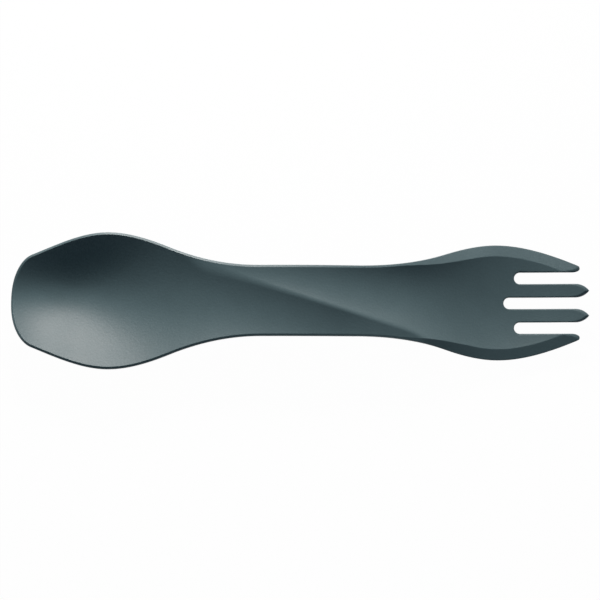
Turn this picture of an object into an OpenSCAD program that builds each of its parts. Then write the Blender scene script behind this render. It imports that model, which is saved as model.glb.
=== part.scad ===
// A spoon and a four-tined fork moulded in one piece, end to end on one handle.
// X runs from the spoon to the fork, Y across and Z up. The origin lies on the table under the middle.

/* [Moulding] */
// Length from the nose of the spoon to the points of the middle tines
length = 160; // [150:1:180]
// Thickness of the wall
wall = 2.2; // [1.8:0.1:2.8]
// Thickness of the wall at the points of the tines
point_wall = 1.5; // [1.2:0.1:2]
// Rounding of the edge on the underside
heel_r = 0.7; // [0.3:0.1:0.8]

/* [Spoon] */
// Greatest width of the bowl
spoon_w = 37.8; // [34:0.2:42]
// Distance of that width from the nose
belly_at = 27; // [23:0.5:31]
// Width of the blunt nose, taken where the flared sides would reach the end
nose_w = 21.2; // [17:0.2:25]
// Length over which the nose is rounded off
nose_len = 6; // [4:0.5:8]
// Angle at which the sides flare out from the nose
nose_flare = 19; // [12:1:24]
// Distance of the steepest place of the neck from the nose
neck_at = 44; // [40:0.5:48]
// Width at that place
neck_w = 29.6; // [26:0.2:32]
// Angle at which each side draws in there
neck_taper = 22; // [17:1:26]
// Radius across the floor of the bowl
spoon_r = 10.7; // [9:0.1:16]
// Steepest slope of the bowl's walls
spoon_wall = 34.5; // [28:0.1:38]
// How far the floor of the bowl lies off the centre line, towards +Y
bowl_aside = 2.1; // [0:0.1:3]
// Distance of the lowest place of the bowl from the nose
bowl_floor_at = 19.5; // [17:0.5:24]
// Height of the rim at the nose
nose_z = 6.2; // [5:0.1:9]
// Angle at which the floor of the bowl drops from the nose
nose_drop = 25; // [18:0.1:30]

/* [Handle] */
// Width of the handle
grip_w = 19.6; // [16:0.2:22]
// Distance of its straight stretch from the nose
grip_at = 69; // [64:1:74]
// Height of the channel floors at the top of the arch
grip_z = 13.2; // [9:0.1:16]
// Place of the top of the arch, from the middle of the length
arch_x = 1; // [-6:0.5:8]
// Radius across the spoon's channel in the handle
neck_r = 24; // [20:0.5:34]
// Radius across the fork's channel in the handle
wrist_r = 15.5; // [12:0.5:20]
// Angle at which the spoon's channel swings off the centre line
spoon_swing = 14.8; // [12:0.1:18]
// Angle at which the fork's channel swings off the centre line
fork_swing = 7.2; // [5:0.1:10]
// Angle between the handle and the diagonal crest where the channels meet
crest_angle = 17.2; // [14:0.1:20]
// Place where the crest crosses the centre line, from the middle of the length
crest_x = 4; // [-2:0.1:8]
// Height over which the crest is rounded
crest_blend = 0.45; // [0.2:0.05:1]
// The same where the crest starts, near the spoon
crest_soft = 0.8; // [0.4:0.1:1.4]

/* [Fork] */
// Greatest width of the fork
fork_w = 31.7; // [29:0.1:35]
// Distance of that width from the points
palm_at = 25.6; // [23:0.2:28]
// Distance of the steepest place of the shoulders from the points
shoulder_at = 40; // [37:0.5:43]
// Width at that place
shoulder_w = 26.3; // [23:0.1:28]
// Angle at which each shoulder spreads there
shoulder_taper = 17; // [13:1:21]
// Distance of the straight stretch of the handle from the points
fork_grip_at = 65; // [60:1:70]
// Radius across the inside of the fork
fork_r = 36; // [30:0.5:44]
// Steepest slope of the fork's channel
fork_wall = 60; // [45:1:65]
// Radius across the underside of the fork
fork_under_r = 52; // [44:1:64]
// How far the floor of the fork lies off the centre line, towards -Y
palm_aside = 2.5; // [0:0.1:3.5]
// Distance of the lowest place of the fork from the points
palm_floor_at = 22; // [18:0.5:26]
// Height of the points
tip_z = 4.6; // [3.5:0.1:9]
// Angle at which the tines rise at their points
tip_rise = 8; // [5:0.1:24]

/* [Bevel] */
// Width of the bevel along the rim of the spoon and the handle
rim_bevel_w = 0.6; // [0.4:0.1:1]
// Fall of that bevel
rim_bevel_angle = 30; // [20:1:36]
// Width of the bevel along the outer edges of the fork
bevel_w = 3.1; // [2:0.1:4]
// Fall of the bevel there
bevel_angle = 13.5; // [8:0.1:18]
// Distance from the points at which the bevel starts to widen
bevel_at = 56; // [50:1:62]
// Distance from the points at which it has its full width
bevel_full_at = 32; // [28:1:38]

/* [Tines] */
// Width of the gaps between the tines
gap_w = 3.25; // [2.8:0.05:3.6]
// Width of the two middle tines
tine_w = 3.65; // [3.2:0.05:4]
// Length of the middle gap
middle_gap_len = 23.6; // [18:0.1:27]
// Length of the two side gaps
side_gap_len = 20.7; // [16:0.1:24]
// Length over which a middle tine narrows to its point
point_len = 3.8; // [3:0.1:5]
// Distance of the outer tines' ends from the points of the middle ones
outer_short = 2.6; // [1.5:0.1:4]
// Width of an outer tine at its rounded end
outer_end_w = 2.1; // [1.6:0.1:2.6]
// Length over which the inner edge of an outer tine is rounded there
outer_end_len = 2.3; // [1.5:0.1:4]
// Angle at which the outer edges draw in there
outer_taper = 22.5; // [18:0.5:26]

/* [Hidden] */

// Ends of the part and of the loft, which runs a little past the points and is then trimmed
nose_x = -length / 2;
tip_x = length / 2;
trim = 0.5;
end_x = tip_x + trim;

// Inner edge of an outer tine, and the centre of its rounded end
outer_in = 1.5 * gap_w + tine_w;
outer_end_x = tip_x - outer_short - outer_end_w / 2;

// Half width of the outline before its nose is rounded: stations of place, half width and slope
OUTLINE = [
    [nose_x, nose_w / 2, tan(nose_flare)],
    [nose_x + belly_at, spoon_w / 2, 0],
    [nose_x + neck_at, neck_w / 2, -tan(neck_taper)],
    [nose_x + grip_at, grip_w / 2, 0],
    [tip_x - fork_grip_at, grip_w / 2, 0],
    [tip_x - shoulder_at, shoulder_w / 2, tan(shoulder_taper)],
    [tip_x - palm_at, fork_w / 2, 0],
    [outer_end_x, outer_in + outer_end_w, -tan(outer_taper)],
    [end_x, outer_in + outer_end_w - tan(outer_taper) * (end_x - outer_end_x), -tan(outer_taper)],
];
// How blunt the nose is: 2 is an ellipse, more is squarer
nose_power = 2.5;

// Height of the channel floors along the part, in the same form
SPINE = [
    [nose_x, nose_z, -tan(nose_drop)],
    [nose_x + bowl_floor_at, wall, 0],
    [arch_x, grip_z, 0],
    [tip_x - palm_floor_at, wall, 0],
    [tip_x, tip_z, tan(tip_rise)],
    [end_x, tip_z + trim * tan(tip_rise), tan(tip_rise)],
];

// Where each channel leaves the centre line, and the length over which it turns
spoon_swing_x = nose_x + 54.4;
fork_swing_x = tip_x - 30;
swing_ease = 10;
// Past its end of the crest, each channel runs out upwards at this slope
spoon_end_x = tip_x - 47;
fork_end_x = nose_x + 51;
run_out = 0.35;
run_out_ease = 4;

// Stretches along X over which one form passes into another: the bowl into the neck, the wrist into the
// palm, the heights of the two channels into each other, the soft start of the crest into its sharp part,
// and the fall of the rim's bevel into that of the fork's
NECK = [nose_x + 15, nose_x + 47];
WRIST = [tip_x - 60, tip_x - 22];
LEVEL = [nose_x + 65, tip_x - 55];
SOFT = [nose_x + 45, nose_x + 72];
FALL = [nose_x + 30, tip_x - bevel_full_at];

// Rows along the loft and columns across one half of it
nose_rows = 14;
nose_row_power = 2.2;
belly_rows = 11;
body_rows = 73;
dish_columns = 8;
band_columns = 3;
columns = dish_columns + band_columns + 1;
loop = 4 * columns;
// How the columns of the band crowd towards the edge, and the share of the half width that it may take
band_power = 1.6;
band_share = 0.6;
// Width over which both faces close at the very edge
lip = 0.12;
// Over the handle the middle column follows the crest, but keeps this share of the way to the bevel
CREST_IN = [nose_x + 35, nose_x + 47];
CREST_OUT = [tip_x - 48, tip_x - 36];
crest_reach = 0.8;
// Thinnest that the rounding may leave the edge, and step for measuring slopes
least_edge = 0.3;
step = 0.01;

function span(st, x, i = 0) = i + 2 >= len(st) || x < st[i + 1].x ? i : span(st, x, i + 1);

// Smooth curve through stations of place, value and slope
function curve(st, x) =
    let (a = st[span(st, x)], b = st[span(st, x) + 1], run = b.x - a.x, t = (x - a.x) / run)
    a.y + (b.y - a.y) * t * t * (3 - 2 * t) + run * t * (1 - t) * (a.z * (1 - t) - b.z * t);

// Ramp of slope 1 that starts at 0, eased on both sides of its start
function ramp(d, ease) = d <= -ease ? 0 : d >= ease ? d : pow(d + ease, 2) / (4 * ease);

// The lower of two heights, rounded where they cross
function lower(a, b, blend) = min(a, b) - pow(max(blend - abs(a - b), 0), 2) / (4 * blend);

function clamp01(t) = min(max(t, 0), 1);

// Step from 0 to 1 over a stretch, level at both ends
function share(x, stretch) =
    let (t = clamp01((x - stretch[0]) / (stretch[1] - stretch[0]))) t * t * (3 - 2 * t);

function mix(a, b, t) = a + (b - a) * t;

// How far a quarter circle falls at a distance from the edge that it rounds
function round_off(d, r) = let (c = 1 - clamp01(d / r)) r * (1 - sqrt(1 - c * c));

function nose(x) =
    let (t = clamp01((x - nose_x) / nose_len))
    pow(1 - pow(1 - t, nose_power), 1 / nose_power);

function half(x) = curve(OUTLINE, x) * nose(x);

// Length along the outline, and along the spine, for each unit of X
function outline_steep(x) = norm([1, (half(x + step) - half(x)) / step]);
function spine_steep(x) = norm([1, (curve(SPINE, x + step) - curve(SPINE, x)) / step]);

// Distance to the outer edge and the direction away from it. The edge is where a gauge, made of the
// places along the nose and across the part, is 1.
function edge(x, y) =
    let (wide = curve(OUTLINE, x), flare = (curve(OUTLINE, x + step) - wide) / step)
    let (along = 1 - clamp01((x - nose_x) / nose_len), across = abs(y) / wide)
    let (gauge = max(pow(pow(along, nose_power) + pow(across, nose_power), 1 / nose_power), step))
    let (by_along = pow(along / gauge, nose_power - 1) / nose_len)
    let (by_across = pow(across / gauge, nose_power - 1) / wide)
    let (away = [by_along + by_across * flare, -sign(y) * by_across], size = max(norm(away), 1e-6))
    [(1 - gauge) / size, away / size];

// Section of a channel: a hyperbola of radius r at its floor, with walls up to the steepest slope
function trough(across, r, steepest) =
    let (slope = tan(steepest)) slope * (norm([slope * r, across]) - slope * r);

function crest_line(x) = -tan(crest_angle) * (x - crest_x);

// Spine plus the lower of the two channels, which meet in the diagonal crest. Each keeps to the centre line
// at its own end and swings aside over the handle, where they are brought to one height along the crest.
// The floors of the bowl and of the fork lie aside by a parabola that leaves both rims level.
function dish(x, y, r_spoon, r_neck, r_wrist, r_fork) =
    let (neck = share(x, NECK), palm = share(x, WRIST), level = share(x, LEVEL), crest = crest_line(x))
    let (spoon_axis = -tan(spoon_swing) * ramp(x - spoon_swing_x, swing_ease))
    let (fork_axis = tan(fork_swing) * ramp(fork_swing_x - x, swing_ease))
    let (spoon_aside = bowl_aside * (1 - neck) * (1 - pow(min(2 * abs(y) / spoon_w, 1), 2)))
    let (fork_aside = -palm_aside * palm * (1 - pow(min(2 * abs(y) / fork_w, 1), 2)))
    let (rs = mix(r_spoon, r_neck, neck), rf = mix(r_wrist, r_fork, palm))
    let (rise = trough(crest - fork_axis, rf, fork_wall) - trough(crest - spoon_axis, rs, spoon_wall))
    let (spoon_end = run_out * ramp(x - spoon_end_x, run_out_ease))
    let (fork_end = run_out * ramp(fork_end_x - x, run_out_ease))
    let (spoon = trough(y - spoon_axis - spoon_aside, rs, spoon_wall) + level * rise + spoon_end)
    let (fork = trough(y - fork_axis - fork_aside, rf, fork_wall) - (1 - level) * rise + fork_end)
    curve(SPINE, x) + lower(spoon, fork, mix(crest_soft, crest_blend, share(x, SOFT)));

function bevel(x) = mix(rim_bevel_w, bevel_w, share(x, [tip_x - bevel_at, tip_x - bevel_full_at]));

// The dish up to the inner line of the bevel, then a face that falls outwards from that line
function upper_face(x, y) =
    let (to_edge = edge(x, y), over = max(bevel(x) - to_edge[0], 0), from = [x, y] + over * to_edge[1])
    dish(from.x, from.y, spoon_r, neck_r, wrist_r, fork_r)
        - over * mix(tan(rim_bevel_angle), tan(bevel_angle), share(x, FALL));

// The wall thins along the tines
function thickness(x) = mix(wall, point_wall, share(x, [tip_x - palm_at, tip_x])) * spine_steep(x);

function lower_face(x, y) =
    dish(x, y, spoon_r + wall, neck_r + wall, wrist_r + wall, fork_under_r)
        - thickness(x) + round_off(edge(x, y)[0], heel_r);

// Point of the skin: side is 1 on the upper face and -1 on the lower one
function skin(x, y, side) =
    let (a = upper_face(x, y), b = min(lower_face(x, y), a - least_edge))
    [x, y, (a + b) / 2 + side * clamp01(edge(x, y)[0] / lip) * (a - b) / 2];

// Width of the band between the inner line of the bevel and the edge, measured across
function band(x) = min(bevel(x) * outline_steep(x), band_share * half(x));

// Places across one half, from the centre line out to the edge
function places(x) =
    let (h = half(x), wide = band(x), thin = min(lip * outline_steep(x), wide / 4))
    concat(
        [for (k = [1:dish_columns]) (h - wide) * k / dish_columns],
        [for (k = [1:band_columns]) h - mix(thin, wide, pow(1 - k / band_columns, band_power))],
        [h]
    );

// How far a column moves aside over the handle, so that the middle one lies on the crest
function crest_shift(x, y) =
    let (flat = half(x) - band(x), reach = crest_reach * flat)
    min(max(crest_line(x), -reach), reach) * max(1 - abs(y) / flat, 0)
        * (share(x, CREST_IN) - share(x, CREST_OUT));

// Closed section of the part: over the upper face and back under the lower one
function section(x) =
    let (out = places(x), all = concat([for (k = [columns - 1:-1:0]) -out[k]], [0], out))
    let (across = [for (y = all) y + crest_shift(x, y)])
    concat(
        [for (k = [0:2 * columns]) skin(x, across[k], 1)],
        [for (k = [2 * columns - 1:-1:1]) skin(x, across[k], -1)]
    );

ROWS = concat(
    [for (k = [1:nose_rows]) nose_x + nose_len * pow(k / nose_rows, nose_row_power)],
    [for (k = [1:belly_rows]) nose_x + mix(nose_len, belly_at, k / belly_rows)],
    [for (k = [1:body_rows]) mix(nose_x + belly_at, end_x, k / body_rows)]
);

function at(row, k) = 1 + row * loop + (k + loop) % loop;

// The moulding before its gaps are cut: sections lofted from the nose to just past the points
module blade() {
    last = len(ROWS) - 1;
    polyhedron(
        points = concat([skin(nose_x, 0, 1)], [for (x = ROWS) each section(x)]),
        faces = concat(
            [for (k = [0:loop - 1]) [0, at(0, k), at(0, k + 1)]],
            [for (i = [0:last - 1]) for (k = [0:loop - 1]) [at(i, k), at(i + 1, k), at(i + 1, k + 1)]],
            [for (i = [0:last - 1]) for (k = [0:loop - 1]) [at(i, k), at(i + 1, k + 1), at(i, k + 1)]],
            [for (k = [0:2 * columns - 1]) [at(last, k), at(last, -k - 1), at(last, k + 1)]],
            [for (k = [1:2 * columns - 1]) [at(last, k), at(last, -k), at(last, -k - 1)]]
        )
    );
}

// Slot between two tines, open at the points and round at its root
module gap(y, len) {
    translate([tip_x - len + gap_w / 2, y]) {
        circle(d = gap_w);
        translate([0, -gap_w / 2]) square([len, gap_w]);
    }
}

// What is trimmed from the end of a middle tine to leave its point, between two arcs
module point_trim(y) {
    arc_r = (point_len * point_len + tine_w * tine_w / 4) / tine_w;
    translate([tip_x - point_len, y]) difference() {
        translate([0, -(tine_w + gap_w) / 2]) square([point_len + 2 * trim, tine_w + gap_w]);
        intersection() {
            translate([0, arc_r - tine_w / 2]) circle(arc_r);
            translate([0, tine_w / 2 - arc_r]) circle(arc_r);
        }
    }
}

// What is trimmed from an outer tine to leave its end: a long round on the inner edge, a short one outside
module end_trim() {
    r = outer_end_w / 2;
    translate([outer_end_x + r - outer_end_len, outer_in]) difference() {
        translate([0, -gap_w / 2]) square([outer_end_len + outer_short + 2 * trim, gap_w / 2 + fork_w]);
        translate([0, r]) scale([outer_end_len / r, 1]) circle(r);
        translate([outer_end_len - r, r]) circle(r);
        translate([-r, r]) square([outer_end_len, fork_w]);
    }
}

module fork_cut() {
    $fn = 48;
    gap(0, middle_gap_len);
    for (side = [-1, 1]) {
        gap(side * (tine_w + gap_w), side_gap_len);
        point_trim(side * (tine_w + gap_w) / 2);
    }
    end_trim();
    mirror([0, 1]) end_trim();
}

module spork() {
    color([0.35, 0.43, 0.45]) difference() {
        blade();
        translate([0, 0, -wall]) linear_extrude(2 * (wall + grip_z + tip_z)) fork_cut();
    }
}

spork();
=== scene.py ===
"""A spoon and a fork moulded end to end in satin nylon, dressed around its solid on a white table."""

import math

import bmesh
import bpy
import numpy as np
from bpy.props import FloatProperty, FloatVectorProperty, PointerProperty
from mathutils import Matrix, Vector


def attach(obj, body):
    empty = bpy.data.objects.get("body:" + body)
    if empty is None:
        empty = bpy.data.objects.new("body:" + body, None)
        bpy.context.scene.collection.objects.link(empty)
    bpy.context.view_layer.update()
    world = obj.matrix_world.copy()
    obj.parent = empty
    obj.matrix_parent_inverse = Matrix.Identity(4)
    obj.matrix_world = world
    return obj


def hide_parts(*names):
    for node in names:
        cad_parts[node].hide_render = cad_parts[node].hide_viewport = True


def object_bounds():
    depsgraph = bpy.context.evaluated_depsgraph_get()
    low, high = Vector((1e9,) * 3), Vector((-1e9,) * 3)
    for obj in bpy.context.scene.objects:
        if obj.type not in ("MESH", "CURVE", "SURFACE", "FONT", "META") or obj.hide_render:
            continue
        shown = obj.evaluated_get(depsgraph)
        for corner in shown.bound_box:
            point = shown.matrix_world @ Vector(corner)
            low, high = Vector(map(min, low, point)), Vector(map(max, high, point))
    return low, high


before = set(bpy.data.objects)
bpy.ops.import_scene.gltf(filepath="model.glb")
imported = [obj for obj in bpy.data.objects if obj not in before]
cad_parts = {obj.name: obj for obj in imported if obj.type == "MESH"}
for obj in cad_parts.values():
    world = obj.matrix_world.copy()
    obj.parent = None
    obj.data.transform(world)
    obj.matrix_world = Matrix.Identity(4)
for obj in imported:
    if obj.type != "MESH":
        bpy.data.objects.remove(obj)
CAD_LOW, CAD_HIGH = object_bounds()

bl_info = {
    "name": "One-piece spoon and fork",
    "version": (1, 0, 0),
    "blender": (4, 5, 0),
    "location": "3D View > Sidebar > Cutlery",
    "description": "Builds a moulded utensil with a spoon bowl, a channelled handle and a bevelled fork",
    "category": "Object",
}

MM = 0.001
# The picture is square
PICTURE_PX = 600
# Keeps a division away from zero
TINY = 1e-9
# Grey of the table, and the share of white glow that it shows in place of its own light and shadow
TABLE_GREY = 0.9
TABLE_GLOW = 0.985
# Rise of a ray at which the white band along the horizon starts to fade, and at which it is gone
HORIZON_WHITE = 0.1
HORIZON_GONE = 0.2


def length_prop(name, default_mm, description):
    """A size that is shown as a length, with its default given in millimetres."""
    return FloatProperty(
        name=name, default=default_mm * MM, description=description, subtype="DISTANCE", unit="LENGTH"
    )


def angle_prop(name, default_deg, description):
    """An angle that is shown in degrees."""
    return FloatProperty(
        name=name, default=math.radians(default_deg), description=description, subtype="ANGLE"
    )


def place_prop(name, default_mm, description):
    """A place that is shown as three lengths, with its default given in millimetres."""
    return FloatVectorProperty(
        name=name, default=[c * MM for c in default_mm], description=description,
        subtype="TRANSLATION", unit="LENGTH", size=3,
    )


def colour_prop(name, default, description):
    """A linear colour."""
    return FloatVectorProperty(
        name=name, default=default, description=description, subtype="COLOR", size=3, min=0, max=1
    )


def power_prop(name, default_watt, description):
    """The power of a lamp, in watts."""
    return FloatProperty(name=name, default=default_watt, description=description, subtype="POWER", min=0)


class CutlerySizes(bpy.types.PropertyGroup):
    """Sizes of the moulding."""

    length: FloatProperty(
        name="Length", default=CAD_HIGH.x - CAD_LOW.x, subtype="DISTANCE", unit="LENGTH",
        description="From the nose of the spoon to the points of the middle tines",
    )
    wall: length_prop("Wall", 2.2, "Thickness of the wall")
    point_wall: length_prop("Point wall", 1.5, "Thickness of the wall at the points of the tines")
    lip: length_prop("Lip", 0.15, "Width of the rounding where the two faces meet at the edge")
    heel_r: length_prop("Heel radius", 0.7, "Rounding of the edge on the underside")

    spoon_w: FloatProperty(
        name="Spoon width", default=CAD_HIGH.y - CAD_LOW.y, subtype="DISTANCE", unit="LENGTH",
        description="Greatest width of the bowl",
    )
    belly_at: length_prop("Belly place", 27, "Distance of the greatest width from the nose")
    nose_w: length_prop("Nose width", 21.2, "Width of the blunt nose before it is rounded off")
    nose_len: length_prop("Nose length", 6, "Length over which the nose is rounded off")
    nose_power: FloatProperty(
        name="Nose power", default=2.25, min=2, max=4, description="Power of the curve of the nose"
    )
    nose_flare: angle_prop("Nose flare", 19, "Angle at which the sides flare out from the nose")
    neck_at: length_prop("Neck place", 44, "Distance of the steepest place of the neck from the nose")
    neck_w: length_prop("Neck width", 29.6, "Width at the steepest place of the neck")
    neck_taper: angle_prop("Neck taper", 22, "Angle at which each side of the neck draws in")
    spoon_r: length_prop("Bowl radius", 10.7, "Radius across the floor of the bowl")
    spoon_wall: angle_prop("Bowl wall", 34.5, "Steepest slope of the bowl's walls")
    bowl_aside: length_prop("Bowl aside", 2.1, "How far the floor of the bowl lies off the centre line")
    bowl_floor_at: length_prop("Bowl floor", 19.5, "Distance of the bowl's lowest place from the nose")
    nose_z: length_prop("Nose height", 6.2, "Height of the rim at the nose")
    nose_drop: angle_prop("Nose drop", 25, "Angle at which the floor of the bowl drops from the nose")
    neck_r: length_prop("Neck radius", 24, "Radius across the spoon's channel in the handle")

    grip_w: length_prop("Handle width", 19.52, "Width of the handle")
    grip_at: length_prop("Handle start", 69, "Distance of the straight handle from the nose")
    grip_z: length_prop("Handle height", 13.2, "Height of the channel floors at the top of the arch")
    arch_x: length_prop("Arch place", 1, "Place of the top of the arch")
    crest_angle: angle_prop("Crest angle", 17.2, "Angle between the diagonal crest and the handle")
    crest_x: length_prop("Crest place", 4, "Where the crest crosses the centre line")
    crest_blend: length_prop("Crest blend", 0.5, "Height over which the crest is rounded")
    crest_soft: length_prop("Crest start", 0.8, "The same where the crest starts, near the spoon")
    spoon_swing: angle_prop("Spoon swing", 14.8, "Angle of the spoon's channel to the centre line")
    fork_swing: angle_prop("Fork swing", 7.2, "Angle of the fork's channel to the centre line")

    fork_w: length_prop("Fork width", 31.9, "Greatest width of the fork")
    palm_at: length_prop("Palm place", 25.6, "Distance of the greatest width from the points")
    shoulder_at: length_prop("Shoulder place", 40, "Distance of the steepest shoulder from the points")
    shoulder_w: length_prop("Shoulder width", 26.45, "Width at the steepest place of the shoulders")
    shoulder_taper: angle_prop("Shoulder taper", 18, "Angle at which each shoulder spreads")
    fork_grip_at: length_prop("Handle end", 65, "Distance of the straight handle from the points")
    fork_r: length_prop("Fork radius", 50, "Radius across the inside of the fork")
    fork_wall: angle_prop("Fork wall", 60, "Steepest slope of the fork's channel")
    fork_under_r: length_prop("Fork underside", 52, "Radius across the underside of the fork")
    wrist_r: length_prop("Wrist radius", 15.5, "Radius across the fork's channel in the handle")
    palm_aside: length_prop("Palm aside", -2.5, "How far the floor of the fork lies off the centre line")
    palm_floor_at: length_prop("Palm floor", 22, "Distance of the palm's lowest place from the points")
    tip_z: length_prop("Point height", 4.6, "Height of the points")
    tip_rise: angle_prop("Tine rise", 8, "Angle at which the tines rise at their points")

    rim_bevel_w: length_prop("Rim bevel", 0.65, "Width of the bevel along the spoon and handle")
    rim_bevel_angle: angle_prop("Rim bevel angle", 26, "Fall of the bevel along the rim")
    bevel_w: length_prop("Fork bevel", 3.1, "Width of the bevel along the outer edges of the fork")
    bevel_angle: angle_prop("Fork bevel angle", 13.5, "Fall of the bevel along the fork")
    bevel_at: length_prop("Bevel start", 54, "Distance from the points at which the bevel widens")
    bevel_full_at: length_prop("Bevel end", 32, "Distance from the points at which it is at full width")

    gap_w: length_prop("Gap width", 3.12, "Width of the gaps between the tines")
    tine_w: length_prop("Tine width", 3.78, "Width of the two middle tines")
    middle_gap_len: length_prop("Middle gap", 23.6, "Length of the middle gap")
    side_gap_len: length_prop("Side gaps", 20.7, "Length of the two side gaps")
    point_len: length_prop("Point length", 3.8, "Length over which a middle tine narrows to its point")
    outer_short: length_prop("Outer setback", 2.6, "How much shorter the outer tines are")
    outer_end_w: length_prop("Outer end", 2.1, "Width of an outer tine at its rounded end")
    outer_end_len: length_prop("Outer end length", 2.3, "Length over which its inner edge is rounded")
    outer_taper: angle_prop("Outer taper", 22.5, "Angle at which the outer edges draw in")
    gap_edge_r: length_prop("Gap edge", 0.3, "Rounding along the edges of the gaps")
    point_edge_w: length_prop("Point edge", 0.9, "Width of the bevel around the points")
    point_edge_angle: angle_prop("Point edge angle", 26, "Fall of the bevel around the points")


class CutleryFinish(bpy.types.PropertyGroup):
    """Colour and surface of the nylon."""

    colour: colour_prop("Nylon", (0.098, 0.154, 0.168), "Colour of the moulded nylon")
    roughness: FloatProperty(
        name="Roughness", default=0.46, min=0, max=1, description="Spread of the satin sheen"
    )
    roughness_spread: FloatProperty(
        name="Roughness spread", default=0.03, min=0, max=0.2, description="How much the sheen varies"
    )
    grain: length_prop("Grain", 0.6, "Size of the fine grain that the mould leaves")
    grain_depth: length_prop("Grain depth", 0.03, "Depth of that grain")
    cloud: length_prop("Clouds", 8, "Size of the faint clouds in colour and sheen")
    colour_spread: FloatProperty(
        name="Colour spread", default=0.16, min=0, max=0.5, description="How much the colour varies"
    )


class CutleryStage(bpy.types.PropertyGroup):
    """Table, light and camera."""

    table_half: length_prop("Table", 3000, "Half the width of the table")
    px_mm: FloatProperty(name="Scale", default=0.2762, description="Millimetres to a pixel")
    centre_x_px: FloatProperty(name="Centre X", default=300, description="Pixel of the part's middle")
    centre_y_px: FloatProperty(name="Centre Y", default=301.9, description="Pixel of the part's middle")
    distance: length_prop("Camera distance", 800, "Distance of the camera from the part")
    tilt: angle_prop("Camera tilt", 3.5, "Angle of the camera from straight above")
    roll: angle_prop("Camera roll", 0.14, "Turn of the camera about its axis")
    aim_z: length_prop("Aim height", 6, "Height that the scale and the centre are taken at")
    key_power: power_prop("Key", 0.73, "Power of the key light")
    key_place: place_prop("Key place", (-30, 235, 150), "Place of the key light")
    key_w: length_prop("Key width", 80, "Width of the key light, along the part")
    key_h: length_prop("Key height", 50, "Height of the key light")
    strip_power: power_prop("Strip", 0.26, "Power of the strip light")
    strip_place: place_prop("Strip place", (-10, 250, 135), "Place of the strip light")
    strip_w: length_prop("Strip width", 700, "Width of the strip light, along the part")
    strip_h: length_prop("Strip height", 60, "Height of the strip light")
    lamp_colour: colour_prop("Lamp colour", (1, 0.955, 0.925), "Colour of both lamps")
    fill_colour: colour_prop("Fill colour", (0.62, 0.82, 1), "Colour of the light from all round")
    fill: FloatProperty(name="Fill", default=0.099, description="Strength of the light from all round")


def mix(start, end, share):
    """The start where the share is 0, the end where it is 1, and evenly between them."""
    return start + (end - start) * share


def even(n):
    """Places from 0 to 1 in even steps."""
    return np.linspace(0, 1, n + 1)


def crowded(n):
    """Places from 0 to 1 that crowd towards both ends, as the cosine does."""
    return (1 - np.cos(np.pi * even(n))) / 2


def crowded_out(n):
    """Places from 0 to 1 that crowd towards 1, as the sine does."""
    return np.sin(np.pi / 2 * even(n))


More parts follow.
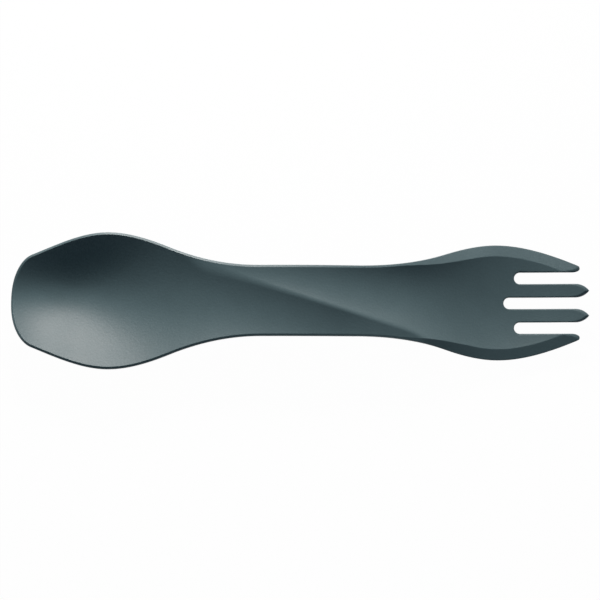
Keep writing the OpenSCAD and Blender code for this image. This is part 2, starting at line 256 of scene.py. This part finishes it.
class Moulding:
    """Heights and outlines of the moulding as functions of place, all in metres, on whole arrays.

    Along the part, outline and spine are cubic curves through stations of place, value and slope.
    Across it, each end has a channel with a hyperbola for its section. The two channels cross the handle
    on a diagonal, the lower of the two is the upper face, and they meet in a crest.
    """

    # Half the length of the bend where a channel swings aside, and of the one where it runs out
    swing_ease = 10 * MM
    run_out_ease = 4 * MM
    # Slope at which a channel runs out upwards, past its end of the crest
    run_out = 0.35
    # How much the radius of the spoon's channel grows towards its end of the crest
    flank_growth = 2.5
    # Most that the slant of the rim stretches a width across it, which would have no limit at the nose
    most_slant = 30
    # Step along X over which slopes are taken
    slope_step = 0.01 * MM

    def __init__(self, sizes):
        self.s = s = sizes
        self.nose_x = nose = -s.length / 2
        self.tip_x = tip = s.length / 2
        self.outer_in = s.gap_w / 2 + s.tine_w + s.gap_w
        self.outer_end_r = s.outer_end_w / 2
        self.outer_end_x = tip - s.outer_short - self.outer_end_r
        self.point_x = tip - s.point_len
        self.point_r = (s.point_len**2 + s.tine_w**2 / 4) / s.tine_w
        # Where each channel leaves the centre line, and where it runs out
        self.spoon_swing_x = nose + 54.4 * MM
        self.fork_swing_x = tip - 30 * MM
        self.spoon_end_x = tip - 47 * MM
        self.fork_end_x = nose + 51 * MM
        # Stretches along X over which one form passes into another: the bowl into the neck, the wrist into
        # the palm, the heights of the two channels into each other, the soft start of the crest into its
        # sharp part, the spoon's channel into its flat end, the narrow bevel into the wide one, the fall
        # of the rim's bevel into that of the fork's, and the wall into that of the points
        self.neck = (nose + 15 * MM, nose + 47 * MM)
        self.wrist = (tip - 53 * MM, tip - 12 * MM)
        self.level = (nose + 65 * MM, tip - 55 * MM)
        self.soft = (nose + 45 * MM, nose + 72 * MM)
        self.flank = (tip - 68 * MM, tip - 48 * MM)
        self.widening = (tip - s.bevel_at, tip - s.bevel_full_at)
        self.fall = (nose + 30 * MM, tip - s.bevel_full_at)
        self.thinning = (tip - s.palm_at, tip)
        self.outline = np.array([
            (nose, s.nose_w / 2, math.tan(s.nose_flare)),
            (nose + s.belly_at, s.spoon_w / 2, 0),
            (nose + s.neck_at, s.neck_w / 2, -math.tan(s.neck_taper)),
            (nose + s.grip_at, s.grip_w / 2, 0),
            (tip - s.fork_grip_at, s.grip_w / 2, 0),
            (tip - s.shoulder_at, s.shoulder_w / 2, math.tan(s.shoulder_taper)),
            (tip - s.palm_at, s.fork_w / 2, 0),
            (self.outer_end_x, self.outer_in + s.outer_end_w, -math.tan(s.outer_taper)),
            (tip, self.outer_in, -math.tan(s.outer_taper)),
        ])
        self.spine_line = np.array([
            (nose, s.nose_z, -math.tan(s.nose_drop)),
            (nose + s.bowl_floor_at, s.wall, 0),
            (s.arch_x, s.grip_z, 0),
            (tip - s.palm_floor_at, s.wall, 0),
            (tip, s.tip_z, math.tan(s.tip_rise)),
        ])

    @staticmethod
    def curve(stations, x):
        """Cubic Hermite curve: between two stations, a blend of their values and slopes."""
        i = np.clip(np.searchsorted(stations[:, 0], x, side="right") - 1, 0, len(stations) - 2)
        a, b = stations[i], stations[i + 1]
        run = b[..., 0] - a[..., 0]
        t = (x - a[..., 0]) / run
        level = mix(a[..., 1], b[..., 1], t * t * (3 - 2 * t))
        return level + run * t * (1 - t) * (a[..., 2] * (1 - t) - b[..., 2] * t)

    @staticmethod
    def ramp(d, ease):
        """Zero before 0 and d after it, with a parabola across the bend."""
        return np.where(d <= -ease, 0, np.where(d >= ease, d, (d + ease) ** 2 / (4 * ease)))

    @staticmethod
    def share(x, stretch):
        """0 before the stretch and 1 past it, with a smooth step that starts and ends level."""
        start, end = stretch
        t = np.clip((x - start) / (end - start), 0, 1)
        return t * t * (3 - 2 * t)

    @staticmethod
    def hump(y, half):
        """Parabola that is 1 on the centre line and 0 from half the width outwards."""
        return 1 - np.minimum(np.abs(y) / half, 1) ** 2

    @staticmethod
    def round_off(d, r):
        """How far a quarter circle of radius r falls at distance d from the edge it rounds."""
        c = 1 - np.clip(d / r, 0, 1)
        return r * (1 - np.sqrt(1 - c * c))

    @staticmethod
    def trough(across, r, steepest):
        """Hyperbola: radius r at its floor, and walls that never pass the steepest slope."""
        slope = math.tan(steepest)
        return slope * (np.hypot(slope * r, across) - slope * r)

    def half(self, x):
        """Half width: the outline times a superellipse over the nose."""
        power = self.s.nose_power
        t = np.clip((x - self.nose_x) / self.s.nose_len, 0, 1)
        return self.curve(self.outline, x) * (1 - (1 - t) ** power) ** (1 / power)

    def steep(self, line, x):
        """Length along a line for each unit of X."""
        return np.hypot(1, (line(x + self.slope_step) - line(x)) / self.slope_step)

    def slant(self, x):
        """Length along the outline for each unit of X, held back at the very nose."""
        return np.minimum(self.steep(self.half, x), self.most_slant)

    def spine(self, x):
        """Height of the channel floors."""
        return self.curve(self.spine_line, x)

    def crest_line(self, x):
        """Place of the crest across the part: a straight diagonal."""
        return -math.tan(self.s.crest_angle) * (x - self.s.crest_x)

    def dish(self, x, y, r_spoon, r_neck, r_wrist, r_fork):
        """Spine plus the lower of two channels.

        Each channel keeps near the centre line at its own end and swings aside over the handle, where its
        radius changes as well. They are brought to one height along the crest, and rounded where they
        meet. The spoon's channel flattens towards its end of the crest. The floors of the bowl and of the
        palm lie aside, by a parabola that leaves both rims level. Past its end of the crest, each channel
        runs out upwards.
        """
        s = self.s
        neck, palm = self.share(x, self.neck), self.share(x, self.wrist)
        spoon_axis = -math.tan(s.spoon_swing) * self.ramp(x - self.spoon_swing_x, self.swing_ease)
        fork_axis = math.tan(s.fork_swing) * self.ramp(self.fork_swing_x - x, self.swing_ease)
        bowl_aside = s.bowl_aside * (1 - neck) * self.hump(y, s.spoon_w / 2)
        palm_aside = s.palm_aside * palm * self.hump(y, s.fork_w / 2)
        r_spoon = mix(r_spoon, r_neck, neck) * (1 + self.flank_growth * self.share(x, self.flank))
        r_fork = mix(r_wrist, r_fork, palm)
        crest = self.crest_line(x)
        step = self.trough(crest - fork_axis, r_fork, s.fork_wall)
        step = step - self.trough(crest - spoon_axis, r_spoon, s.spoon_wall)
        level = self.share(x, self.level)
        spoon = self.trough(y - spoon_axis - bowl_aside, r_spoon, s.spoon_wall) + level * step
        spoon = spoon + self.run_out * self.ramp(x - self.spoon_end_x, self.run_out_ease)
        fork = self.trough(y - fork_axis - palm_aside, r_fork, s.fork_wall) - (1 - level) * step
        fork = fork + self.run_out * self.ramp(self.fork_end_x - x, self.run_out_ease)
        blend = mix(s.crest_soft, s.crest_blend, self.share(x, self.soft))
        near = np.maximum(blend - np.abs(spoon - fork), 0)
        return self.spine(x) + np.minimum(spoon, fork) - near**2 / (4 * blend)

    def bevel(self, x):
        """Width of the bevel along the outer edge."""
        return mix(self.s.rim_bevel_w, self.s.bevel_w, self.share(x, self.widening))

    def bevel_fall(self, x):
        """Slope of that bevel."""
        rim, fork = math.tan(self.s.rim_bevel_angle), math.tan(self.s.bevel_angle)
        return mix(rim, fork, self.share(x, self.fall))

    def upper(self, x, y):
        """Dish up to the inner line of the bevel, then a face that falls outwards from that line."""
        s = self.s
        gap, to_x, to_y = self.edge_field(x, y)
        over = np.maximum(self.bevel(x) - gap, 0)
        radii = (s.spoon_r, s.neck_r, s.wrist_r, s.fork_r)
        return self.dish(x + over * to_x, y + over * to_y, *radii) - self.bevel_fall(x) * over

    def lower(self, x, y):
        """Underside: the channels again with the radii of the outside, one wall further down."""
        s = self.s
        wall = mix(s.wall, s.point_wall, self.share(x, self.thinning)) * self.steep(self.spine, x)
        radii = (s.spoon_r + s.wall, s.neck_r + s.wall, s.wrist_r + s.wall, s.fork_under_r)
        return self.dish(x, y, *radii) - wall

    def edge_field(self, x, y):
        """Distance to the outer edge, and the direction straight away from it.

        The edge is where a gauge is 1: the root of the sum of two powers, of the place along the nose and
        of the place across. What is missing to 1, over the gauge's steepness, is the distance.
        """
        power = self.s.nose_power
        wide = self.curve(self.outline, x)
        flare = (self.curve(self.outline, x + self.slope_step) - wide) / self.slope_step
        along = 1 - np.clip((x - self.nose_x) / self.s.nose_len, 0, 1)
        across = np.abs(y) / wide
        gauge = np.maximum((along**power + across**power) ** (1 / power), TINY)
        by_along = (along / gauge) ** (power - 1) / self.s.nose_len
        by_across = (across / gauge) ** (power - 1) / wide
        to_x = by_along + by_across * flare
        to_y = -np.sign(y) * by_across
        size = np.maximum(np.hypot(to_x, to_y), TINY)
        return (1 - gauge) / size, to_x / size, to_y / size

    def slot_gap(self, x, y):
        """Distance to the nearest gap between tines, each a long slot with a round root."""
        s = self.s
        gaps = []
        for side, slot_len in ((0, s.middle_gap_len), (-1, s.side_gap_len), (1, s.side_gap_len)):
            before = np.minimum(x - (self.tip_x - slot_len + s.gap_w / 2), 0)
            gaps.append(np.hypot(before, y - side * (s.tine_w + s.gap_w)) - s.gap_w / 2)
        return np.minimum.reduce(gaps)


class MouldingMesh:
    """Grids of the moulding's skin: one from the nose to the roots of the gaps, and one for each tine.

    A grid is a row of sections along X. Its columns keep to the edges of the tines and gaps, to the inner
    line of the bevel and to the rim, and spread evenly over the spoon and handle.
    """

    # Columns across half a gap, a middle tine, the flat of an outer tine, the bevel and the rim
    cells_gap = 8
    cells_tine = 20
    cells_outer = 12
    cells_bevel = 6
    cells_rim = 5
    # Rows along the nose, the bowl and handle, the palm and the tines, and how those of the nose crowd
    rows_nose = 36
    rows_body = 190
    rows_palm = 40
    rows_tine = 50
    nose_row_power = 2.2
    # Most of the half width that lip and bevel may take, and least of an outer tine that stays flat
    lip_share = 0.2
    bevel_share = 0.6
    outer_share = 0.3
    # Most of the flat width that the column on the crest may move, and the length over which it sets in
    crest_reach = 0.8
    crest_fade = 12 * MM
    # Least half width inside the bevels, and least wall at the edges
    least_flat = 0.1 * MM
    least_wall = 0.3 * MM
    # Distances within which points are welded, and below which an edge is dissolved
    weld = 1e-4 * MM
    sliver = 1e-5 * MM

    def __init__(self, moulding):
        self.m = m = moulding
        self.points = []
        self.faces = []
        self.count = 0
        # Where the straight rows end, the stretch before it over which the columns fan out to the tines,
        # and the one over which the middle column follows the crest
        self.palm_x = m.tip_x - 34 * MM
        self.fan = (m.tip_x - 50 * MM, self.palm_x)
        self.crest = (m.nose_x + 35 * MM, m.tip_x - 36 * MM)
        self.tine_columns = slice(self.cells_gap, self.cells_gap + self.cells_tine + 1)
        self.outer_columns = slice(3 * self.cells_gap + self.cells_tine, None)
        self.weights = self.column_weights()

    def column_weights(self):
        """Shares of four lines along the part that make up each column, from the centre line outwards.

        In the gaps and the middle tines a column is a share of the first line, and past that it is a mix
        of two neighbouring lines.
        """
        s = self.m.s
        middle = s.gap_w / 2 * crowded_out(self.cells_gap)
        tine = s.gap_w / 2 + s.tine_w * crowded(self.cells_tine)[1:]
        side = s.gap_w / 2 + s.tine_w + s.gap_w * crowded(2 * self.cells_gap)[1:]
        lanes = np.concatenate([middle, tine, side]) / self.m.outer_in
        outer, bevel = crowded(self.cells_outer)[1:], crowded(self.cells_bevel)[1:]
        rim = crowded_out(self.cells_rim)[1:]
        at = len(lanes)
        weights = np.zeros((4, at + len(outer) + len(bevel) + len(rim)))
        weights[0, :at] = lanes
        for line, spread in enumerate((outer, bevel, rim)):
            cells = slice(at, at + len(spread))
            weights[line, cells] = 1 - spread
            weights[line + 1, cells] = spread
            at += len(spread)
        return weights

    def columns(self, x, part=slice(None)):
        """Places of the columns of one half, or of some of them, across the part at the places x along it.

        The four lines are the inner edge of the outer tine, the inner line of the bevel, the start of the
        lip and the edge. In the fork the first runs straight, in the spoon and handle it is a share of
        the width, and between the two it passes from one to the other.
        """
        m, s = self.m, self.m.s
        half, slant = m.half(x), m.slant(x)
        lip = np.minimum(s.lip * slant, self.lip_share * half)
        inside = half - np.minimum(m.bevel(x) * slant, self.bevel_share * half)
        palm_inside = m.half(m.tip_x - s.palm_at) - s.bevel_w
        start = m.outer_in * mix(inside / palm_inside, 1, m.share(x, self.fan))
        flat = np.maximum(inside, mix(start, half, self.outer_share))
        lines = (start, flat, half - lip, half)
        return sum(line * weight for line, weight in zip(lines, self.weights[:, part]))

    def crest_shift(self, x, y):
        """How far the columns move aside over the handle, so that the middle one lies on the crest."""
        m = self.m
        flat = np.maximum(m.half(x) - m.bevel(x) * m.slant(x), self.least_flat)
        reach = self.crest_reach * flat
        start, end = self.crest
        shift = np.clip(m.crest_line(x), -reach, reach)
        shift = shift * m.share(x, (start, start + self.crest_fade))
        shift = shift * (1 - m.share(x, (end - self.crest_fade, end)))
        return shift * np.clip(1 - np.abs(y) / flat, 0, 1)

    def lane_ends(self):
        """Where each column of one half ends at the roots: on an arc in a gap, on a line in a tine."""
        m, s = self.m, self.m.s
        root_middle = m.tip_x - s.middle_gap_len + s.gap_w / 2
        root_side = m.tip_x - s.side_gap_len + s.gap_w / 2
        middle = root_middle - s.gap_w / 2 * np.cos(np.pi / 2 * even(self.cells_gap))
        tine = mix(root_middle, root_side, crowded(self.cells_tine)[1:])
        side = root_side - s.gap_w / 2 * np.sin(np.pi * even(2 * self.cells_gap))[1:]
        rest = np.full(self.cells_outer + self.cells_bevel + self.cells_rim, root_side)
        return np.concatenate([middle, tine, side, rest])

    def skin(self, x, y, outer_gap, inner_gap, point_edge):
        """Upper and lower heights, rounded at the edges and closed to one line at the very edge.

        Near an edge both faces close on their middle along half an ellipse.
        """
        m, s = self.m, self.m.s
        top = m.upper(x, y) - m.round_off(inner_gap, s.gap_edge_r)
        top = top - math.tan(s.point_edge_angle) * np.maximum(point_edge - inner_gap, 0)
        low = m.lower(x, y) + m.round_off(outer_gap, s.heel_r) + m.round_off(inner_gap, s.gap_edge_r)
        low = np.minimum(low, top - self.least_wall)
        edge = np.clip(np.minimum(outer_gap, inner_gap) / s.lip, 0, 1)
        share = np.sqrt(1 - (1 - edge) ** 2)
        middle, half = (top + low) / 2, (top - low) / 2 * share
        return middle + half, middle - half

    def add_grid(self, x, y, z, flip):
        """Adds one face of the skin as quads between neighbouring rows and columns."""
        rows, cols = x.shape
        index = self.count + np.arange(rows * cols).reshape(rows, cols)
        a, b, c, d = index[:-1, :-1], index[1:, :-1], index[1:, 1:], index[:-1, 1:]
        quads = np.stack([a, d, c, b] if flip else [a, b, c, d], axis=-1).reshape(-1, 4)
        self.points.append(np.stack([x, y, z], axis=-1).reshape(-1, 3))
        self.faces.append(quads)
        self.count += rows * cols

    def add_pair(self, x, y, top, low):
        """Adds the upper and the lower face of a grid."""
        self.add_grid(x, y, top, False)
        self.add_grid(x, y, low, True)

    def body(self):
        """Spoon, handle and palm: straight sections up to the palm, then rows that bend to the roots."""
        m, s = self.m, self.m.s
        nose_end = m.nose_x + s.nose_len
        nose = mix(m.nose_x, nose_end, even(self.rows_nose) ** self.nose_row_power)
        straight = mix(nose_end, self.palm_x, even(self.rows_body)[1:])
        ends = self.lane_ends()
        x_straight = np.repeat(np.concatenate([nose, straight])[:, None], len(ends), axis=1)
        x_palm = mix(self.palm_x, ends, crowded_out(self.rows_palm)[1:, None])
        x_half = np.concatenate([x_straight, x_palm])
        y_half = self.columns(x_half)
        x = np.concatenate([x_half[:, :0:-1], x_half], axis=1)
        y = np.concatenate([-y_half[:, :0:-1], y_half], axis=1)
        y = y + self.crest_shift(x, y)
        outer_gap = np.maximum(m.edge_field(x, y)[0], 0)
        inner_gap = np.maximum(m.slot_gap(x, y), 0)
        self.add_pair(x, y, *self.skin(x, y, outer_gap, inner_gap, 0))

    def middle_tine(self, side):
        """A middle tine: straight sides, then two arcs that meet in its point."""
        m, s = self.m, self.m.s
        x = mix(self.lane_ends()[self.tine_columns], m.tip_x, crowded_out(self.rows_tine)[:, None])
        past = np.maximum(x - m.point_x, 0)
        along = np.sqrt(m.point_r**2 - past**2)
        width = along - m.point_r + s.tine_w / 2
        off = (2 * crowded(self.cells_tine) - 1) * width
        y = (s.gap_w + s.tine_w) / 2 + off
        to_arc = (width - np.abs(off)) / np.hypot(1, past / along)
        inner_gap = np.maximum(np.where(past > 0, to_arc, m.slot_gap(x, y)), 0)
        outer_gap = np.full_like(x, np.inf)
        point_edge = s.point_edge_w * m.share(x, (m.point_x - s.point_len, m.point_x + s.point_len))
        self.place_tine(x, y, outer_gap, inner_gap, point_edge, side)

    def outer_tine(self, side):
        """An outer tine: a straight inner edge, the outline on its outer edge and a rounded end.

        The end is a quarter circle outside and a quarter ellipse inside.
        """
        m, s = self.m, self.m.s
        end_x = m.outer_end_x + m.outer_end_r
        x = mix(self.lane_ends()[self.outer_columns], end_x, crowded_out(self.rows_tine)[:, None])
        half = m.half(x)
        past = np.clip(x - m.outer_end_x, 0, m.outer_end_r)
        bow = np.sqrt(m.outer_end_r**2 - past**2)
        outer = np.minimum(half, m.outer_in + m.outer_end_r + np.where(past > 0, bow, np.inf))
        long = np.clip((x - end_x + s.outer_end_len) / s.outer_end_len, 0, 1)
        inner = m.outer_in + m.outer_end_r * (1 - np.sqrt(1 - long**2))
        y = mix(inner, outer, (self.columns(x, self.outer_columns) - m.outer_in) / (half - m.outer_in))
        slope_in = m.outer_end_r / s.outer_end_len * long / np.sqrt(np.maximum(1 - long**2, TINY))
        inner_gap = np.maximum((y - inner) / np.hypot(1, slope_in), 0)
        slope_out = np.where(outer < half, past / np.maximum(bow, TINY), 0)
        outer_gap = np.maximum((outer - y) / np.hypot(m.steep(m.half, x), slope_out), 0)
        point_edge = s.point_edge_w * m.share(x, (end_x - 2 * s.point_len, end_x))
        self.place_tine(x, y, outer_gap, inner_gap, point_edge, side)

    def place_tine(self, x, y, outer_gap, inner_gap, point_edge, side):
        """Adds a tine on one side: its plan is mirrored, and its heights are worked out where it lies."""
        y = side * y
        top, low = self.skin(x, y, outer_gap, inner_gap, point_edge)
        self.add_pair(x[:, ::side], y[:, ::side], top[:, ::side], low[:, ::side])

    def build(self, name):
        """Welds the grids into one closed mesh."""
        self.body()
        for side in (-1, 1):
            self.middle_tine(side)
            self.outer_tine(side)
        mesh = bpy.data.meshes.new(name)
        mesh.from_pydata(np.concatenate(self.points).tolist(), [], np.concatenate(self.faces).tolist())
        work = bmesh.new()
        work.from_mesh(mesh)
        bmesh.ops.remove_doubles(work, verts=work.verts, dist=self.weld)
        bmesh.ops.dissolve_degenerate(work, edges=work.edges, dist=self.sliver)
        bmesh.ops.recalc_face_normals(work, faces=work.faces)
        work.to_mesh(mesh)
        work.free()
        mesh.polygons.foreach_set("use_smooth", np.ones(len(mesh.polygons), dtype=bool))
        mesh.update()
        return mesh


def new_object(name, data):
    """Links a new object at the origin to the scene."""
    made = bpy.data.objects.new(name, data)
    bpy.context.scene.collection.objects.link(made)
    return made


def noise(tree, place, size, detail):
    """Noise in object space whose features are about as large as the given size."""
    node = tree.nodes.new("ShaderNodeTexNoise")
    node.inputs["Scale"].default_value = 1 / size
    node.inputs["Detail"].default_value = detail
    tree.links.new(place.outputs["Object"], node.inputs["Vector"])
    return node.outputs["Fac"]


def combined(tree, operation, first, second):
    """Two outputs put together by a sum, a product or the like."""
    node = tree.nodes.new("ShaderNodeMath")
    node.operation = operation
    tree.links.new(first, node.inputs[0])
    tree.links.new(second, node.inputs[1])
    return node.outputs[0]


def scaled(tree, source, share):
    """A share of an output."""
    node = tree.nodes.new("ShaderNodeMath")
    node.operation = "MULTIPLY"
    node.inputs[1].default_value = share
    tree.links.new(source, node.inputs[0])
    return node.outputs[0]


def tinted(tree, factor, start, end):
    """A colour that passes from the start to the end as the factor grows."""
    node = tree.nodes.new("ShaderNodeMix")
    node.data_type = "RGBA"
    node.inputs["A"].default_value = (*start, 1)
    node.inputs["B"].default_value = (*end, 1)
    tree.links.new(factor, node.inputs["Factor"])
    return node.outputs["Result"]


def nylon_material(finish):
    """Satin nylon: a fine moulded grain in the bump, and faint clouds and specks in colour and sheen."""
    material = bpy.data.materials.new("satin_nylon")
    material.use_nodes = True
    tree = material.node_tree
    shader = tree.nodes["Principled BSDF"]
    place = tree.nodes.new("ShaderNodeTexCoord")
    grain = noise(tree, place, finish.grain, detail=3)
    clouds = noise(tree, place, finish.cloud, detail=2)
    bump = tree.nodes.new("ShaderNodeBump")
    bump.inputs["Strength"].default_value = 1
    bump.inputs["Distance"].default_value = finish.grain_depth
    tree.links.new(grain, bump.inputs["Height"])
    tree.links.new(bump.outputs["Normal"], shader.inputs["Normal"])
    mean = scaled(tree, combined(tree, "ADD", grain, clouds), 1 / 2)
    dark = [c * (1 - finish.colour_spread) for c in finish.colour]
    light = [c * (1 + finish.colour_spread) for c in finish.colour]
    tree.links.new(tinted(tree, mean, dark, light), shader.inputs["Base Color"])
    sheen = tree.nodes.new("ShaderNodeMapRange")
    sheen.inputs["To Min"].default_value = finish.roughness - finish.roughness_spread
    sheen.inputs["To Max"].default_value = finish.roughness + finish.roughness_spread
    tree.links.new(clouds, sheen.inputs["Value"])
    tree.links.new(sheen.outputs["Result"], shader.inputs["Roughness"])
    return material


def shown_rays(tree):
    """1 for the rays that show a background: from the camera, from a reflection or through glass."""
    path = tree.nodes.new("ShaderNodeLightPath")
    shown = path.outputs["Is Camera Ray"]
    for ray in ("Is Glossy Ray", "Is Transmission Ray"):
        shown = combined(tree, "MAXIMUM", shown, path.outputs[ray])
    return shown


def table_material():
    """White table: it glows white to the camera and in reflections, and keeps a soft share of shadow."""
    material = bpy.data.materials.new("white_table")
    material.use_nodes = True
    tree = material.node_tree
    tree.nodes.clear()
    out = tree.nodes.new("ShaderNodeOutputMaterial")
    matt = tree.nodes.new("ShaderNodeBsdfDiffuse")
    matt.inputs["Color"].default_value = (TABLE_GREY, TABLE_GREY, TABLE_GREY, 1)
    glow = tree.nodes.new("ShaderNodeEmission")
    glow.inputs["Strength"].default_value = 1
    both = tree.nodes.new("ShaderNodeMixShader")
    tree.links.new(scaled(tree, shown_rays(tree), TABLE_GLOW), both.inputs["Fac"])
    tree.links.new(matt.outputs["BSDF"], both.inputs[1])
    tree.links.new(glow.outputs["Emission"], both.inputs[2])
    tree.links.new(both.outputs["Shader"], out.inputs["Surface"])
    return material


def studio_world(fill, colour):
    """Even fill from all round, and a white band along the horizon for rays that show a background."""
    world = bpy.data.worlds.new("studio")
    world.use_nodes = True
    tree = world.node_tree
    place = tree.nodes.new("ShaderNodeTexCoord")
    split = tree.nodes.new("ShaderNodeSeparateXYZ")
    tree.links.new(place.outputs["Generated"], split.inputs["Vector"])
    band = tree.nodes.new("ShaderNodeMapRange")
    band.inputs["From Min"].default_value = HORIZON_GONE
    band.inputs["From Max"].default_value = HORIZON_WHITE
    tree.links.new(split.outputs["Z"], band.inputs["Value"])
    shown = combined(tree, "MULTIPLY", shown_rays(tree), band.outputs["Result"])
    strength = tree.nodes.new("ShaderNodeMapRange")
    strength.inputs["To Min"].default_value = fill
    tree.links.new(shown, strength.inputs["Value"])
    sky = tree.nodes["Background"]
    tree.links.new(tinted(tree, shown, colour, (1, 1, 1)), sky.inputs["Color"])
    tree.links.new(strength.outputs["Result"], sky.inputs["Strength"])
    return world


class CUTLERY_OT_moulding(bpy.types.Operator):
    """Build the spoon and fork as one moulded piece"""

    bl_idname = "cutlery.moulding"
    bl_label = "Moulding"

    def execute(self, context):
        mesh = MouldingMesh(Moulding(context.scene.cutlery_sizes)).build("spork_skin")
        piece = new_object("spork_skin", mesh)
        mesh.materials.append(nylon_material(context.scene.cutlery_finish))
        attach(piece, "root")
        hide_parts("spork")
        return {"FINISHED"}


class CUTLERY_OT_stage(bpy.types.Operator):
    """Set the white table, the lights and the camera"""

    bl_idname = "cutlery.stage"
    bl_label = "Stage"

    def execute(self, context):
        stage = context.scene.cutlery_stage
        half = stage.table_half
        mesh = bpy.data.meshes.new("table")
        corners = [(-half, -half, 0), (half, -half, 0), (half, half, 0), (-half, half, 0)]
        mesh.from_pydata(corners, [], [(0, 1, 2, 3)])
        mesh.materials.append(table_material())
        new_object("table", mesh)
        self.light(context, stage)
        self.camera(context, stage)
        return {"FINISHED"}

    @staticmethod
    def lamp(name, colour, power, place, width, height):
        """A lamp that faces the part."""
        light = bpy.data.lights.new(name, "AREA")
        light.shape = "RECTANGLE"
        light.size = width
        light.size_y = height
        light.energy = power
        light.color = colour
        made = new_object(name, light)
        made.location = place
        made.rotation_euler = made.location.to_track_quat("Z", "Y").to_euler()

    def light(self, context, stage):
        """A soft key from the top of the picture, a long weak strip with it, and an even fill."""
        tint = stage.lamp_colour
        self.lamp("key", tint, stage.key_power, stage.key_place, stage.key_w, stage.key_h)
        self.lamp("strip", tint, stage.strip_power, stage.strip_place, stage.strip_w, stage.strip_h)
        context.scene.world = studio_world(stage.fill, stage.fill_colour)

    @staticmethod
    def camera(context, stage):
        """Nearly straight down, with the part as large and as far from the middle as in the picture."""
        lens = bpy.data.cameras.new("camera")
        camera = new_object("camera", lens)
        pixel = stage.px_mm * MM
        camera.location = (
            (PICTURE_PX / 2 - stage.centre_x_px) * pixel,
            (stage.centre_y_px - PICTURE_PX / 2) * pixel - stage.distance * math.sin(stage.tilt),
            stage.aim_z + stage.distance * math.cos(stage.tilt),
        )
        camera.rotation_euler = (stage.tilt, 0, stage.roll)
        lens.lens = lens.sensor_width * stage.distance / (PICTURE_PX * pixel)
        context.scene.camera = camera
        context.scene.view_settings.view_transform = "Standard"


class CUTLERY_PT_panel(bpy.types.Panel):
    """Sizes, finish and stage of the utensil"""

    bl_label = "Spoon and fork"
    bl_idname = "CUTLERY_PT_panel"
    bl_space_type = "VIEW_3D"
    bl_region_type = "UI"
    bl_category = "Cutlery"

    def draw(self, context):
        scene = context.scene
        for title, group in (
            ("Sizes", scene.cutlery_sizes),
            ("Finish", scene.cutlery_finish),
            ("Stage", scene.cutlery_stage),
        ):
            box = self.layout.box()
            box.label(text=title)
            for name in group.bl_rna.properties.keys():
                if name not in ("rna_type", "name"):
                    box.prop(group, name)
        self.layout.operator("cutlery.moulding")
        self.layout.operator("cutlery.stage")


CLASSES = (
    CutlerySizes,
    CutleryFinish,
    CutleryStage,
    CUTLERY_OT_moulding,
    CUTLERY_OT_stage,
    CUTLERY_PT_panel,
)


def register():
    for cls in CLASSES:
        bpy.utils.register_class(cls)
    bpy.types.Scene.cutlery_sizes = PointerProperty(type=CutlerySizes)
    bpy.types.Scene.cutlery_finish = PointerProperty(type=CutleryFinish)
    bpy.types.Scene.cutlery_stage = PointerProperty(type=CutleryStage)


def unregister():
    del bpy.types.Scene.cutlery_stage
    del bpy.types.Scene.cutlery_finish
    del bpy.types.Scene.cutlery_sizes
    for cls in reversed(CLASSES):
        bpy.utils.unregister_class(cls)


def main():
    register()
    bpy.ops.cutlery.moulding()
    bpy.ops.cutlery.stage()


if __name__ == "__main__":
    main()
